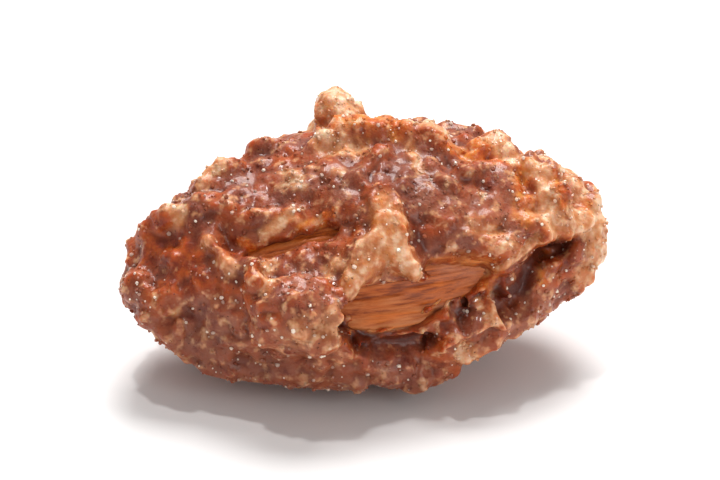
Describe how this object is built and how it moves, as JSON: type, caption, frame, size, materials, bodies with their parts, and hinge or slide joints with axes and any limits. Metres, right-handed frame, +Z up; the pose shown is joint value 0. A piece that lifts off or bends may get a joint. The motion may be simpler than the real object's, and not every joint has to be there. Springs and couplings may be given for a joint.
{
  "type": "cinnamon almond",
  "caption": "Candied almond lying on its side: a furrowed brown kernel inside a craggy crust of cinnamon sugar, broken open where the skin shows.",
  "frame": {"origin": "bottom centre of the nut's box, on the surface it lies on", "axes": "+Z up, +X along the nut from its narrow tip to its blunt end, -Y towards the side with the large window in the crust"},
  "size_m": [0.0274, 0.0168, 0.0137],
  "materials": {
    "cinnamon_sugar": "half-glossy boiled sugar, translucent, red-brown with pale amber crests",
    "roasted_skin": "roasted almond skin, amber brown, satin, with fine lengthwise furrows"
  },
  "bodies": {
    "root": {"sugar_crust": "cinnamon_sugar", "almond_kernel": "roasted_skin"}
  },
  "joints": []
}
